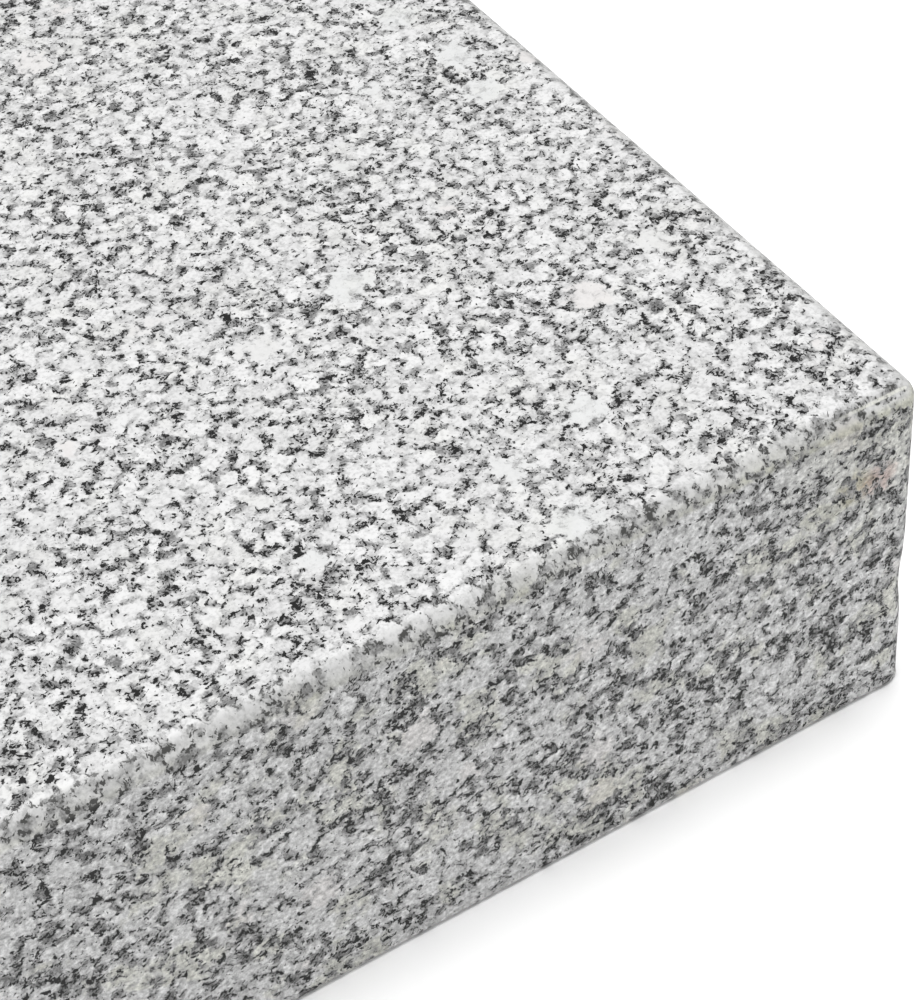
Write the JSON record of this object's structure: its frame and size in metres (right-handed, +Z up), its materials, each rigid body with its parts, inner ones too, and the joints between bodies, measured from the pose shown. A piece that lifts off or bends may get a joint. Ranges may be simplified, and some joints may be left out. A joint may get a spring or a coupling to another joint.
{
  "type": "granite slab",
  "caption": "Thick square slab of pale grey granite with a flat honed work face, sawn sides and rounded arrises, used as a firm base for tooling and stamping leather.",
  "frame": {"origin": "centre of the flat underside", "axes": "+Z up, out of the work face; +X and +Y along the slab's two equal sides"},
  "size_m": [0.305, 0.305, 0.051],
  "materials": {
    "granite": "honed top, fine-sawn sides and underside, pale grey with white, smoky grey and black grains"
  },
  "bodies": {
    "root": {"granite_slab": "granite"}
  },
  "joints": []
}
